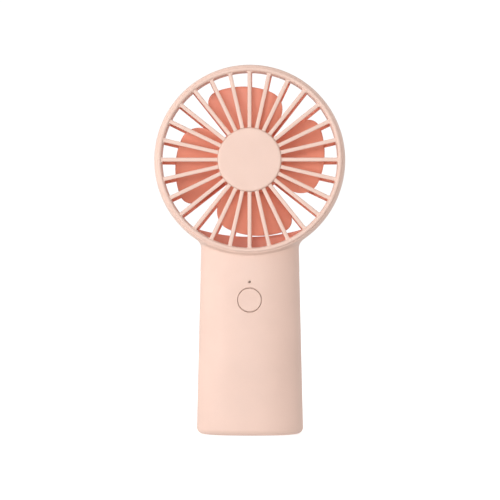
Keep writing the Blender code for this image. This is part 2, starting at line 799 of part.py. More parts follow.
def charge_port(board, bright, dark):
    """The charging board with its rear-facing port."""
    block("charge_board", (-10.0, -4.0, 4.0), (10.0, 11.6, 4.9), board)
    deep = 6.9
    sections = [
        stadium_y(4.47, 1.6, deep, PORT_Z), stadium_y(4.47, 1.6, PORT_MOUTH_Y, PORT_Z),
        stadium_y(4.17, 1.3, PORT_MOUTH_Y, PORT_Z), stadium_y(4.17, 1.3, deep + 0.4, PORT_Z),
    ]
    loft("usb_c_shell", sections, bright)
    block("usb_c_tongue", (-3.35, deep + 0.6, PORT_Z - 0.35), (3.35, PORT_MOUTH_Y - 0.8, PORT_Z + 0.35), dark)


def leads(red, black):
    """Motor leads, one behind the other along the bottom rib, and cell leads to the control board."""
    runs = (("motor_lead_red", 1.0, 5.1, red), ("motor_lead_black", -1.0, 6.4, black))
    for name, side, depth, material in runs:
        knots = [
            (0.75 * side, 3.75, 131.0), (0.6 * side, depth, 126.5), (0.0, depth, 118.0), (0.0, depth, 92.0),
            (0.9 * side, depth - 1.0, 86.5), (2.4 * side, -2.0, 82.5), (3.0 * side, -7.3, 81.8),
        ]
        wire(name, knots, 0.5, material)
    for name, side, material in (("battery_lead_red", 1.0, red), ("battery_lead_black", -1.0, black)):
        knots = [
            (21.2 * side, 0.5, 11.0), (21.2 * side, -1.5, 16.0), (21.0 * side, -2.0, 40.0),
            (20.3 * side, -3.5, 58.0), (18.0 * side, -8.2, 63.5), (14.4 * side, -8.9, 68.0),
        ]
        wire(name, knots, 0.5, material)


def case_screws(material):
    """The four screws that close the case from the rear."""
    for index, (x, z) in enumerate(SCREW_SPOTS):
        profile = ((0.8, -6.8), (0.8, 4.6), (1.6, 4.6), (1.6, 5.6), (1.2, 6.0))
        turned(f"case_screw_{index + 1}", profile, 14, material, (x, 0.0, z))


def clear_scene():
    """Start from an empty scene."""
    for piece in list(bpy.data.objects):
        bpy.data.objects.remove(piece, do_unlink=True)


def main():
    """Build every piece."""
    clear_scene()
    shell = make_material("shell_pink", (249, 216, 200), 0.5)
    coral = make_material("coral_plastic", (226, 128, 110), 0.5)
    clear = make_material("light_pipe_clear", (240, 236, 228), 0.25)
    rubber = make_material("foot_rubber", (205, 170, 158), 0.85)
    steel = make_material("rotor_steel", (150, 152, 156), 0.4, 1.0)
    bright = make_material("bright_steel", (205, 207, 210), 0.25, 1.0)
    magnet = make_material("magnet_ferrite", (52, 52, 56), 0.6)
    lamination = make_material("lamination_steel", (128, 130, 134), 0.5, 1.0)
    copper = make_material("coil_copper", (200, 112, 70), 0.35, 1.0)
    brass = make_material("tube_brass", (206, 172, 100), 0.3, 1.0)
    board = make_material("board_green", (34, 92, 60), 0.45)
    black = make_material("black_plastic", (34, 34, 36), 0.5)
    grey = make_material("inductor_ferrite", (84, 84, 88), 0.6)
    alloy = make_material("capacitor_can", (188, 190, 194), 0.35, 1.0)
    white = make_material("white_plastic", (236, 234, 228), 0.5)
    wrap = make_material("cell_wrap", (70, 120, 168), 0.4)
    nickel = make_material("strip_nickel", (190, 186, 176), 0.3, 1.0)
    red = make_material("red_insulation", (184, 36, 34), 0.5)
    case(shell)
    base_pad(rubber)
    front_grille(shell)
    hub_cap("front_hub_cap", shell, True)
    rear_grille(coral)
    hub_cap("rear_hub_cap", coral, False)
    impeller(coral)
    rotor(steel, magnet, bright)
    stator_core(lamination)
    stator_windings(copper)
    bearings(brass, steel)
    motor_mount(board, white, bright)
    power_button(shell)
    switch(black, white)
    indicator(clear, white)
    main_board(board, black, grey, alloy, bright)
    cells(wrap, white, nickel)
    charge_port(board, bright, black)
    leads(red, black)
    case_screws(bright)


main()
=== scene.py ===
import json
import math

import bmesh
import bpy
import numpy as np
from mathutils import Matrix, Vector


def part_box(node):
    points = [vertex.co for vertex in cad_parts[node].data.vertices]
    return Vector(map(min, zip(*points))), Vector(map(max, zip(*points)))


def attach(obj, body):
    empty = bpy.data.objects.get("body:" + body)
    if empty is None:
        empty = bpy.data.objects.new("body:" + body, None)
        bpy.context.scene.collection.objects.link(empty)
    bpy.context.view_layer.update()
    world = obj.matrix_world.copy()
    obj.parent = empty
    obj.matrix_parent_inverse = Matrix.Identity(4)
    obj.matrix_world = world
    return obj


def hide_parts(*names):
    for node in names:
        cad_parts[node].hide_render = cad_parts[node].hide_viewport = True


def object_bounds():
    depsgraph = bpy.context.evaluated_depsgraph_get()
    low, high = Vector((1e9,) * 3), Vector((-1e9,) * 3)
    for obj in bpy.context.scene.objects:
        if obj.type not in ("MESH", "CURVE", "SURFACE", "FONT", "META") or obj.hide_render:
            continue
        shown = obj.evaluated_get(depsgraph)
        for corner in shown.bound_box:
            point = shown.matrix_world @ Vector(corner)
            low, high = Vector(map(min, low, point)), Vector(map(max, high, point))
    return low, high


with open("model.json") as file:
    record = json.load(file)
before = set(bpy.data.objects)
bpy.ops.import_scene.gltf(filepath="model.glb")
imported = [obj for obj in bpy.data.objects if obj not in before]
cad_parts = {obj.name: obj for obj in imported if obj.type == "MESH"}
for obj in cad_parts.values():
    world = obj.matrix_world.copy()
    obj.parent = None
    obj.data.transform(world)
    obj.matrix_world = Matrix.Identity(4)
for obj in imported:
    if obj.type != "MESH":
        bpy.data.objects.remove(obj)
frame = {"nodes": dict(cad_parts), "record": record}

CAD_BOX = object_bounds()
MM = 0.001
TURN = 2.0 * math.pi


def box_mm(node):
    """Lowest and highest corner of a CAD node, in millimetres."""
    low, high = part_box(node)
    return Vector(low) / MM, Vector(high) / MM


CAP_LOW, CAP_HIGH = box_mm("front_hub_cap")
REAR_CAP_LOW, REAR_CAP_HIGH = box_mm("rear_hub_cap")
GRILLE_HIGH = box_mm("front_grille")[1]
REAR_HIGH = box_mm("rear_grille")[1]
SHELL_LOW, SHELL_HIGH = box_mm("front_shell")
FAN_LOW, FAN_HIGH = box_mm("impeller")
BUTTON_LOW, BUTTON_HIGH = box_mm("power_button")
PIPE_LOW, PIPE_HIGH = box_mm("led_light_pipe")
PORT_LOW, PORT_HIGH = box_mm("usb_c_shell")
PAD_HIGH = box_mm("base_pad")[1]

# Places, in millimetres: depth is along Y, with the front at negative Y
HEAD_Z = 0.5 * (CAP_LOW.z + CAP_HIGH.z)
BUTTON_Z = 0.5 * (BUTTON_LOW.z + BUTTON_HIGH.z)
LED_Z = 0.5 * (PIPE_LOW.z + PIPE_HIGH.z)
PORT_Z = 0.5 * (PORT_LOW.z + PORT_HIGH.z)
FACE_Y = CAP_LOW.y
HEAD_CENTRE = (0.0, HEAD_Z)

# Head ring: radii, and the depths where its outside bends in
RING_RADIUS = SHELL_HIGH.x
RING_FRONT_Y = SHELL_LOW.y
RING_REAR_Y = 10.0
FRONT_BEND_Y = -8.5
REAR_BEND_Y = 4.5
LIP_RADIUS = RING_RADIUS - 1.7
REAR_LIP_RADIUS = RING_RADIUS - 0.3
RING_BORE = 46.6
LIP_BORE = 44.9
REAR_REBATE = 47.1
REAR_REBATE_Y = 8.4

# Handle: half width at the base, its taper, depths, and the lean of its back towards the head
HANDLE_HALF_WIDTH = 27.05
HANDLE_TAPER = 0.0235
HANDLE_FRONT = 14.5
HANDLE_REAR = 15.0
OVAL_POWER = 2.4
LEAN_FROM_Z = 72.0
LEAN_TO_Z = 98.2
LEAN = 5.7

# Seam between the case halves: half of the gap, then the thickness left outside the step and its reach
SEAM_GAP = 0.06
SEAM_LIP = 0.8
SEAM_STEP = 0.8
SEAM_CLEARANCE = 0.05

# Grilles and their caps
RIM_RADIUS = GRILLE_HIGH.x
OPENING = 43.8
SKIRT = 44.7
REAR_RIM = REAR_HIGH.x
REAR_OPENING = 46.2
REAR_SPIGOT = 46.9
CAP_RADIUS = CAP_HIGH.x
CAP_SEAT = 15.4
RIB_COUNT = 28
RIB_HALF_WIDTH = 0.98

# Impeller: radii in millimetres, blade edges in degrees from the blade's middle
FAN_HUB = 16.9
BLADE_TIP = 37.6
BLADE_TIP_SLOPE = 0.078
BLADE_START = -37.0
BLADE_END = 37.7
BLADE_TWIST = 0.165


# ---------------------------------------------------------------- camera, light, floor

def add_camera():
    """Level view of the front from 0.8 m, a little to the right, at half the object's height."""
    away = 0.8
    aside = 0.012
    data = bpy.data.cameras.new("camera")
    data.lens = 113.3
    data.sensor_width = 36.0
    data.clip_start = 0.01
    data.clip_end = 40.0
    camera = bpy.data.objects.new("camera", data)
    camera.location = (aside, -away, 0.5 * (CAD_BOX[0].z + CAD_BOX[1].z))
    camera.rotation_euler = (math.radians(90.0), 0.0, math.atan(aside / away))
    bpy.context.scene.collection.objects.link(camera)
    bpy.context.scene.camera = camera


def add_area(name, place, target, size, power):
    """A soft white square lamp aimed at a point."""
    data = bpy.data.lights.new(name, "AREA")
    data.size = size
    data.energy = power
    lamp = bpy.data.objects.new(name, data)
    lamp.location = place
    lamp.rotation_euler = (Vector(target) - Vector(place)).to_track_quat("-Z", "Y").to_euler()
    lamp.visible_camera = False
    bpy.context.scene.collection.objects.link(lamp)


def add_world(ambient, behind):
    """White surroundings: soft light in front of and behind the object, and a plain white ground."""
    world = bpy.data.worlds.new("studio")
    bpy.context.scene.world = world
    world.use_nodes = True
    nodes = world.node_tree.nodes
    links = world.node_tree.links
    nodes.clear()
    output = nodes.new("ShaderNodeOutputWorld")
    mix = nodes.new("ShaderNodeMixShader")
    soft = nodes.new("ShaderNodeBackground")
    seen = nodes.new("ShaderNodeBackground")
    path = nodes.new("ShaderNodeLightPath")
    soft.inputs["Color"].default_value = (1.0, 0.985, 0.975, 1.0)
    coords = nodes.new("ShaderNodeTexCoord")
    split = nodes.new("ShaderNodeSeparateXYZ")
    ramp = nodes.new("ShaderNodeMapRange")
    ramp.interpolation_type = "SMOOTHSTEP"
    ramp.inputs["From Min"].default_value = -0.3
    ramp.inputs["From Max"].default_value = 0.3
    ramp.inputs["To Min"].default_value = ambient
    ramp.inputs["To Max"].default_value = behind
    links.new(coords.outputs["Generated"], split.inputs[0])
    links.new(split.outputs["Y"], ramp.inputs["Value"])
    links.new(ramp.outputs["Result"], soft.inputs["Strength"])
    seen.inputs["Strength"].default_value = 1.05
    seen.inputs["Color"].default_value = (1.0, 1.0, 1.0, 1.0)
    links.new(path.outputs["Is Camera Ray"], mix.inputs[0])
    links.new(soft.outputs[0], mix.inputs[1])
    links.new(seen.outputs[0], mix.inputs[2])
    links.new(mix.outputs[0], output.inputs["Surface"])


def add_floor():
    """A wide plain white floor, just under the foot."""
    radius = 6.0
    steps = 48
    clearance = 0.0002
    mesh = bpy.data.meshes.new("studio_floor")
    angles = [TURN * step / steps for step in range(steps)]
    edge = [(radius * math.cos(angle), radius * math.sin(angle), 0.0) for angle in angles]
    mesh.from_pydata(edge, [], [tuple(range(steps))])
    floor = bpy.data.objects.new("studio_floor", mesh)
    floor.location.z = -clearance
    bpy.context.scene.collection.objects.link(floor)
    material = bpy.data.materials.new("studio_floor")
    material.use_nodes = True
    shader = material.node_tree.nodes["Principled BSDF"]
    shader.inputs["Base Color"].default_value = (0.9, 0.9, 0.9, 1.0)
    shader.inputs["Roughness"].default_value = 0.9
    shader.inputs["Specular IOR Level"].default_value = 0.0
    shader.inputs["Emission Color"].default_value = (1.0, 1.0, 1.0, 1.0)
    shader.inputs["Emission Strength"].default_value = 0.55
    mesh.materials.append(material)
    floor.visible_diffuse = False
    floor.visible_glossy = False


def add_studio():
    """Camera, three soft lamps (left, front, low on the left), white surroundings and floor."""
    add_camera()
    centre = (0.0, 0.0, 0.1)
    add_world(ambient=0.48, behind=0.95)
    add_area("left", (-1.5, -0.5, 0.35), centre, 0.9, 6.2)
    add_area("front", (-0.1, -1.7, 0.22), centre, 0.5, 9.2)
    add_area("low", (-0.7, -1.0, 0.04), centre, 0.35, 5.8)
    add_floor()
    scene = bpy.context.scene
    scene.view_settings.view_transform = "Standard"
    scene.view_settings.look = "None"


# ---------------------------------------------------------------- materials

# Sockets of a Mix node when it mixes colours
MIX_A = 6
MIX_B = 7
MIX_RESULT = 2


def linear(channel):
    """One display colour channel (0 to 255) as a linear value."""
    value = channel / 255.0
    if value <= 0.04045:
        return value / 12.92
    return ((value + 0.055) / 1.055) ** 2.4


def tint(colour, gain=1.0):
    """A display colour as a linear colour with alpha."""
    return (*[min(1.0, linear(channel) * gain) for channel in colour], 1.0)


class Look:
    """A material being put together from nodes."""

    def __init__(self, name, metallic=0.0):
        self.material = bpy.data.materials.new(name)
        self.material.use_nodes = True
        self.nodes = self.material.node_tree.nodes
        self.links = self.material.node_tree.links
        self.shader = self.nodes["Principled BSDF"]
        self.shader.inputs["Metallic"].default_value = metallic
        self.coords = self.nodes.new("ShaderNodeTexCoord")
        self.height = None

    def noise(self, scale, detail=3.0, stretch=None):
        """Noise over the object's own coordinates; scale is features per metre."""
        texture = self.nodes.new("ShaderNodeTexNoise")
        texture.inputs["Scale"].default_value = scale
        texture.inputs["Detail"].default_value = detail
        source = self.coords.outputs["Object"]
        if stretch is not None:
            mapping = self.nodes.new("ShaderNodeMapping")
            mapping.inputs["Scale"].default_value = stretch
            self.links.new(source, mapping.inputs["Vector"])
            source = mapping.outputs["Vector"]
        self.links.new(source, texture.inputs["Vector"])
        return texture.outputs["Fac"]

    def spread(self, fac, low, high, start=0.35, end=0.65):
        """Map a factor to a range of numbers."""
        ramp = self.nodes.new("ShaderNodeMapRange")
        ramp.inputs["From Min"].default_value = start
        ramp.inputs["From Max"].default_value = end
        ramp.inputs["To Min"].default_value = low
        ramp.inputs["To Max"].default_value = high
        self.links.new(fac, ramp.inputs["Value"])
        return ramp.outputs["Result"]

    def colour_mix(self, fac, blend):
        """A colour mix node driven by a factor."""
        mix = self.nodes.new("ShaderNodeMix")
        mix.data_type = "RGBA"
        mix.blend_type = blend
        self.links.new(fac, mix.inputs[0])
        return mix

    def two_tone(self, fac, first, second):
        """Mix two colours by a factor."""
        mix = self.colour_mix(fac, "MIX")
        mix.inputs[MIX_A].default_value = first
        mix.inputs[MIX_B].default_value = second
        return mix.outputs[MIX_RESULT]

    def multiplied(self, fac, colour, shade):
        """Multiply a colour by a plain shade, as far as the factor says."""
        mix = self.colour_mix(fac, "MULTIPLY")
        self.links.new(colour, mix.inputs[MIX_A])
        mix.inputs[MIX_B].default_value = shade
        return mix.outputs[MIX_RESULT]

    def set_colour(self, output):
        """Join a colour to the shader."""
        self.links.new(output, self.shader.inputs["Base Color"])

    def set_rough(self, output):
        """Join a roughness to the shader."""
        self.links.new(output, self.shader.inputs["Roughness"])

    def bump(self, fac, strength, distance):
        """Add one layer of fine relief."""
        node = self.nodes.new("ShaderNodeBump")
        node.inputs["Strength"].default_value = strength
        node.inputs["Distance"].default_value = distance
        self.links.new(fac, node.inputs["Height"])
        if self.height is not None:
            self.links.new(self.height, node.inputs["Normal"])
        self.height = node.outputs["Normal"]
        self.links.new(self.height, self.shader.inputs["Normal"])


def moulded_plastic(name, colour, rough, texture=0.35):
    """Fine matt moulded plastic: spark texture, faint flow clouds and uneven gloss."""
    look = Look(name)
    clouds = look.spread(look.noise(42.0, 4.0), 0.0, 1.0, 0.3, 0.7)
    mottled = look.two_tone(clouds, tint(colour, 0.965), tint(colour, 1.025))
    grain = look.spread(look.noise(2600.0, 2.0), 0.0, 0.06, 0.35, 0.75)
    look.set_colour(look.multiplied(grain, mottled, (0.72, 0.62, 0.58, 1.0)))
    look.set_rough(look.spread(look.noise(160.0, 3.0), rough - 0.05, rough + 0.05))
    look.bump(look.noise(3600.0, 3.0), texture, 0.00004)
    look.bump(look.noise(90.0, 2.0), 0.06, 0.0003)
    look.shader.inputs["IOR"].default_value = 1.49
    return look.material


def metal(name, colour, rough, brushed=None):
    """Plain metal with fine streaks and dulled patches."""
    look = Look(name, 1.0)
    patches = look.spread(look.noise(240.0, 4.0), 0.0, 1.0)
    look.set_colour(look.two_tone(patches, tint(colour, 0.86), tint(colour, 1.05)))
    look.set_rough(look.spread(look.noise(900.0, 4.0, brushed), rough * 0.75, rough * 1.35))
    look.bump(look.noise(2400.0, 2.0, brushed), 0.25, 0.00002)
    return look.material


def dull(name, colour, rough, scale=1500.0, relief=0.00004):
    """Ferrite, rubber, board and sleeve surfaces with a fine grain."""
    look = Look(name)
    patches = look.spread(look.noise(scale * 0.12, 4.0), 0.0, 1.0)
    look.set_colour(look.two_tone(patches, tint(colour, 0.84), tint(colour, 1.1)))
    look.set_rough(look.spread(look.noise(scale * 0.4, 3.0), rough * 0.88, min(1.0, rough * 1.12)))
    look.bump(look.noise(scale, 3.0), 0.4, relief)
    return look.material


def wound_copper():
    """Enamelled turns wound round a pole, with painted shade in the grooves between turns."""
    look = Look("coil_copper", 1.0)
    wave = look.nodes.new("ShaderNodeTexWave")
    wave.wave_type = "RINGS"
    wave.rings_direction = "Y"
    wave.inputs["Scale"].default_value = 900.0
    wave.inputs["Distortion"].default_value = 0.6
    look.links.new(look.coords.outputs["Object"], wave.inputs["Vector"])
    # The colour follows the same rings as the relief: its dark end lies in the grooves between turns as
    # painted shade.
    look.set_colour(look.two_tone(wave.outputs["Fac"], tint((150, 74, 40)), tint((214, 128, 82))))
    look.set_rough(look.spread(look.noise(700.0), 0.25, 0.42))
    look.bump(wave.outputs["Fac"], 0.5, 0.0001)
    return look.material


def board_face():
    """Green solder mask over faint copper tracks."""
    look = Look("board_green")
    tracks = look.nodes.new("ShaderNodeTexVoronoi")
    tracks.distance = "CHEBYCHEV"
    tracks.feature = "F1"
    tracks.inputs["Scale"].default_value = 420.0
    look.links.new(look.coords.outputs["Object"], tracks.inputs["Vector"])
    lines = look.spread(tracks.outputs["Distance"], 0.0, 1.0, 0.28, 0.34)
    look.set_colour(look.two_tone(lines, tint((34, 92, 60)), tint((52, 122, 78))))
    look.set_rough(look.spread(look.noise(600.0), 0.34, 0.5))
    look.bump(lines, 0.3, 0.00003)
    return look.material


def clear_pipe():
    """Milky clear light pipe."""
    look = Look("light_pipe_clear")
    haze = look.spread(look.noise(1200.0), 0.0, 1.0)
    look.set_colour(look.two_tone(haze, tint((150, 128, 112)), tint((176, 150, 132))))
    look.set_rough(look.spread(look.noise(2000.0), 0.18, 0.3))
    look.shader.inputs["Transmission Weight"].default_value = 0.25
    look.shader.inputs["IOR"].default_value = 1.5
    return look.material


def make_looks():
    """One material for each of the record's slots."""
    return {
        "shell_pink": moulded_plastic("shell_pink", (239, 206, 191), 0.48),
        "coral_plastic": moulded_plastic("coral_plastic", (241, 155, 129), 0.45, 0.3),
        "light_pipe_clear": clear_pipe(),
        "foot_rubber": dull("foot_rubber", (205, 170, 158), 0.85, 1800.0, 0.00008),
        "rotor_steel": metal("rotor_steel", (150, 152, 156), 0.4, (1.0, 12.0, 1.0)),
        "bright_steel": metal("bright_steel", (205, 207, 210), 0.22),
        "magnet_ferrite": dull("magnet_ferrite", (52, 52, 56), 0.62),
        "lamination_steel": metal("lamination_steel", (128, 130, 134), 0.48, (1.0, 40.0, 1.0)),
        "coil_copper": wound_copper(),
        "tube_brass": metal("tube_brass", (206, 172, 100), 0.3, (1.0, 10.0, 1.0)),
        "board_green": board_face(),
        "black_plastic": moulded_plastic("black_plastic", (34, 34, 36), 0.5),
        "inductor_ferrite": dull("inductor_ferrite", (84, 84, 88), 0.6),
        "capacitor_can": metal("capacitor_can", (188, 190, 194), 0.3),
        "white_plastic": moulded_plastic("white_plastic", (236, 234, 228), 0.5),
        "cell_wrap": dull("cell_wrap", (70, 120, 168), 0.38, 900.0, 0.00002),
        "strip_nickel": metal("strip_nickel", (190, 186, 176), 0.3, (12.0, 1.0, 1.0)),
        "red_insulation": moulded_plastic("red_insulation", (184, 36, 34), 0.42),
    }


# ---------------------------------------------------------------- mesh helpers

def raw_object(name, points, faces):
    """An object with no material yet, from millimetre points, with its faces turned outward."""
    mesh = bpy.data.meshes.new(name)
    mesh.from_pydata([Vector(point) * MM for point in points], [], faces)
    shape = bmesh.new()
    shape.from_mesh(mesh)
    bmesh.ops.recalc_face_normals(shape, faces=shape.faces)
    shape.to_mesh(mesh)
    shape.free()
    piece = bpy.data.objects.new(name, mesh)
    bpy.context.scene.collection.objects.link(piece)
    return piece


def bridge(loops, closed, start):
    """Quads between neighbouring loops of equal length; start is the first point's number."""
    count = len(loops[0])
    last = len(loops) if closed else len(loops) - 1
    faces = []
    for row in range(last):
        here = start + row * count
        there = start + ((row + 1) % len(loops)) * count
        for step in range(count):
            after = (step + 1) % count
            faces.append((here + step, here + after, there + after, there + step))
    return faces


def bodies_from(name, section_lists, closed=False):
    """One object of several lofted bodies; open lofts get flat caps."""
    points = []
    faces = []
    for sections in section_lists:
        start = len(points)
        count = len(sections[0])
        for section in sections:
            points.extend(section)
        faces.extend(bridge(sections, closed, start))
        if not closed:
            faces.append(tuple(reversed(range(start, start + count))))
            last = start + (len(sections) - 1) * count
            faces.append(tuple(range(last, last + count)))
    return raw_object(name, points, faces)


def slab(x, y, z):
    """Sections of a plain block between two values on each axis."""
    return [[(x[0], y[0], height), (x[1], y[0], height), (x[1], y[1], height), (x[0], y[1], height)]
            for height in z]


def circle_y(radius, depth, steps, centre):
    """Points round an axis along Y, through centre (x, z), at one depth."""
    return [(centre[0] + radius * math.sin(TURN * i / steps), depth,
             centre[1] + radius * math.cos(TURN * i / steps)) for i in range(steps)]


def stadium_y(half_width, half_height, depth, steps=40):
    """A flat-sided slot outline facing Y at the charging port."""
    straight = half_width - half_height
    points = []
    for step in range(steps):
        angle = TURN * (step + 0.5) / steps
        side = math.copysign(straight, math.cos(angle))
        points.append((side + half_height * math.cos(angle), depth, PORT_Z + half_height * math.sin(angle)))
    return points


def turned(name, profile, steps, centre):
    """A body of revolution about Y from (radius, depth) pairs."""
    return bodies_from(name, [[circle_y(r, y, steps, centre) for r, y in profile]])


def rings(name, profiles, steps):
    """Rings round the head's axis in one object, each from a closed profile of (radius, depth) pairs."""
    section_lists = [[circle_y(r, y, steps, HEAD_CENTRE) for r, y in profile] for profile in profiles]
    return bodies_from(name, section_lists, closed=True)


def quarter(r0, y0, r1, y1, steps):
    """A quarter-ellipse of (radius, depth) pairs that leaves (r0, y0) along Y and reaches (r1, y1)."""
    points = []
    for step in range(steps + 1):
        angle = 0.25 * TURN * step / steps
        points.append((r1 + (r0 - r1) * math.cos(angle), y0 + (y1 - y0) * math.sin(angle)))
    return points


def shallow_curve(radius, depth, rise):
    """Points across a round face to just off its axis, which rises or sinks by rise in the middle."""
    inset = 0.93
    return [(radius * part * inset, depth + rise * (1.0 - part ** 2)) for part in (0.8, 0.6, 0.4, 0.2, 0.02)]


def solve(piece, steps):
    """Apply exact Boolean steps, given as (operation, guide) pairs."""
    for operation, guide in steps:
        modifier = piece.modifiers.new(guide.name, "BOOLEAN")
        modifier.object = guide
        modifier.operation = operation
        modifier.solver = "EXACT"
    graph = bpy.context.evaluated_depsgraph_get()
    mesh = bpy.data.meshes.new_from_object(piece.evaluated_get(graph))
    piece.modifiers.clear()
    old = piece.data
    piece.data = mesh
    mesh.name = old.name
    bpy.data.meshes.remove(old)


def drop(*guides):
    """Remove used guides."""
    for guide in guides:
        bpy.data.objects.remove(guide, do_unlink=True)


def finish_piece(piece, look, body, slot, *nodes, sharp=34.0):
    """Smooth shading, material, body and the CAD nodes it stands for."""
    mesh = piece.data
    mesh.materials.clear()
    mesh.materials.append(look)
    mesh.shade_smooth()
    mesh.set_sharp_from_angle(angle=math.radians(sharp))
    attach(piece, body)
    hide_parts(*nodes)


# ---------------------------------------------------------------- case shells

def handle_half_width(height):
    """Half width of the tapered handle at one height, or at an array of heights."""
    return HANDLE_HALF_WIDTH - HANDLE_TAPER * height


def handle_depths(height):
    """Front and rear depth of the handle at one height, or at an array of heights."""
    part = np.clip((height - LEAN_FROM_Z) / (LEAN_TO_Z - LEAN_FROM_Z), 0.0, 1.0)
    return HANDLE_FRONT, HANDLE_REAR - LEAN * 0.5 * (1.0 - np.cos(np.pi * part))


def oval(half_width, front, rear, height, steps):
    """A rounded oval at one height with its own front and rear depths."""
    points = []
    for step in range(steps):
        angle = TURN * step / steps
        across = math.cos(angle)
        along = math.sin(angle)
        x = math.copysign(abs(across) ** (2.0 / OVAL_POWER), across) * half_width
        y = math.copysign(abs(along) ** (2.0 / OVAL_POWER), along) * (rear if along > 0.0 else front)
        points.append((x, y, height))
    return points


def handle_oval(height, inset, steps):
    """The handle's oval at one height, made smaller all round by inset."""
    front, rear = handle_depths(height)
    return oval(handle_half_width(height) - inset, front - inset, rear - inset, height, steps)


def handle_sections(steps):
    """Outside of the handle, with a rounded base corner, closer together near the head."""
    corner = 3.0
    rows = 8
    start = 0.35
    sections = []
    for row in range(rows):
        angle = 0.25 * TURN * (row + start) / (rows + start)
        height = corner * (1.0 - math.cos(angle)) if row else 0.0
        sections.append(handle_oval(height, corner * (1.0 - math.sin(angle)), steps))
    heights = [corner + 4.0 * row for row in range(18)] + [74.0 + 2.0 * row for row in range(7)]
    heights += [87.2 + 0.7 * row for row in range(18)]
    return sections + [handle_oval(height, 0.0, steps) for height in heights]


def hollow_sections(steps):
    """Space inside the handle walls."""
    wall = 1.8
    floor = 2.6
    rows = [(floor, 1.4), (floor + 0.5, 0.4), (floor + 1.4, 0.0)]
    rows += [(height, 0.0) for height in (38.0, 72.0, 76.0, 80.0, 84.0, 88.0, 94.6)]
    return [handle_oval(height, wall + inset, steps) for height, inset in rows]


def ring_outline():
    """Outside of the head ring from its front lip to its rear lip, as (radius, depth)."""
    bevel = 0.2
    parts = 8
    front = quarter(RING_RADIUS, FRONT_BEND_Y, LIP_RADIUS, RING_FRONT_Y, 12)[::-1]
    rear = quarter(RING_RADIUS, REAR_BEND_Y, REAR_LIP_RADIUS, RING_REAR_Y, 8)[:-1]
    rear += [(REAR_LIP_RADIUS, RING_REAR_Y - bevel), (REAR_LIP_RADIUS - bevel, RING_REAR_Y)]
    span = REAR_BEND_Y - FRONT_BEND_Y
    middle = [(RING_RADIUS, FRONT_BEND_Y + span * part / parts) for part in range(1, parts)]
    return front + middle + rear


def ring_bore_outline():
    """Space inside the head ring, narrower at the front lip and rebated at the rear."""
    reach = 24.0
    behind = RING_RADIUS + 0.1
    return [(LIP_BORE, -reach), (LIP_BORE, -14.0), (RING_BORE - 0.4, -12.2), (RING_BORE, -11.0),
            (RING_BORE, REAR_REBATE_Y), (REAR_REBATE, REAR_REBATE_Y), (REAR_REBATE, RING_REAR_Y),
            (behind, RING_REAR_Y), (behind, reach)]


def ring_distance(points):
    """Signed distance to the outside of the ring, in millimetres, for an array of points."""
    most = 0.995
    radius = np.hypot(points[:, 0], points[:, 2] - HEAD_Z)
    depth = points[:, 1]
    front = np.clip((FRONT_BEND_Y - depth) / (FRONT_BEND_Y - RING_FRONT_Y), 0.0, most)
    rear = np.clip((depth - REAR_BEND_Y) / (RING_REAR_Y - REAR_BEND_Y), 0.0, most)
    bend = np.maximum(front, rear)
    lip = np.where(depth > 0.0, REAR_LIP_RADIUS, LIP_RADIUS)
    edge = lip + (RING_RADIUS - lip) * np.sqrt(1.0 - bend ** 2)
    return radius - edge


def handle_distance(points):
    """Signed distance to the outside of the handle, in millimetres, for an array of points."""
    tiny = 1e-9
    least_slope = 1e-4
    half_width = handle_half_width(points[:, 2])
    front, rear = handle_depths(points[:, 2])
    half_depth = np.where(points[:, 1] > 0.0, rear, front)
    across = np.abs(points[:, 0]) / half_width
    along = np.abs(points[:, 1]) / half_depth
    share = np.maximum(across ** OVAL_POWER + along ** OVAL_POWER, tiny) ** (1.0 / OVAL_POWER)
    slope = np.hypot((across / share) ** (OVAL_POWER - 1.0) / half_width,
                     (along / share) ** (OVAL_POWER - 1.0) / half_depth)
    return (share - 1.0) / np.maximum(slope, least_slope)


def blended(points):
    """Both outsides joined by a fillet, wide at the sides and small at the front and back."""
    wide = 3.0
    small = 0.9
    to_ring = ring_distance(points)
    to_handle = handle_distance(points)
    part = np.clip((np.abs(points[:, 1]) - 7.0) / 5.0, 0.0, 1.0)
    reach = wide - (wide - small) * part * part * (3.0 - 2.0 * part)
    near = np.maximum(reach - np.abs(to_ring - to_handle), 0.0)
    return np.minimum(to_ring, to_handle) - near * near / (4.0 * reach)


def soften_junction(mesh):
    """Move the outside of the case near the neck onto the filleted surface, away from its lips and seam."""
    skin = 0.12
    low = 84.0
    high = 106.0
    lip = 0.25
    seam = 0.3
    nudge = 0.02
    depth_share = 0.4
    least = 0.05
    rounds = 6
    flat = np.empty(len(mesh.vertices) * 3)
    mesh.vertices.foreach_get("co", flat)
    points = flat.reshape(-1, 3) / MM
    near = np.abs(np.minimum(ring_distance(points), handle_distance(points))) < skin
    near &= (points[:, 2] > low) & (points[:, 2] < high)
    near &= (points[:, 1] > RING_FRONT_Y + lip) & (points[:, 1] < RING_REAR_Y - lip)
    near &= np.abs(points[:, 1]) > seam
    moved = points[near]
    for _ in range(rounds):
        value = blended(moved)
        slope = np.empty_like(moved)
        for axis in range(3):
            step = np.zeros(3)
            step[axis] = nudge
            slope[:, axis] = (blended(moved + step) - blended(moved - step)) / (2.0 * nudge)
        slope[:, 1] *= depth_share
        size = np.maximum((slope ** 2).sum(axis=1), least)
        moved = moved - slope * (value / size)[:, None]
    points[near] = moved
    mesh.vertices.foreach_set("co", (points * MM).reshape(-1))
    mesh.update()


def seam_spaces(lip, step):
    """Spaces behind the outer part of the wall, where the front half reaches past the seam plane by step."""
    before = -1.0
    head = turned("seam_head", [(RING_RADIUS - lip, y) for y in (before, step)], 192, HEAD_CENTRE)
    rows = ((1.4, 3.2), (4.0, 0.5), (5.2, 0.0), (96.0, 0.0))
    edge = [(handle_half_width(z) - lip - inset, z) for z, inset in rows]
    outline = edge + [(-x, z) for x, z in edge[::-1]]
    handle = bodies_from("seam_handle", [[[(x, y, z) for x, z in outline] for y in (before, step)]])
    return head, handle


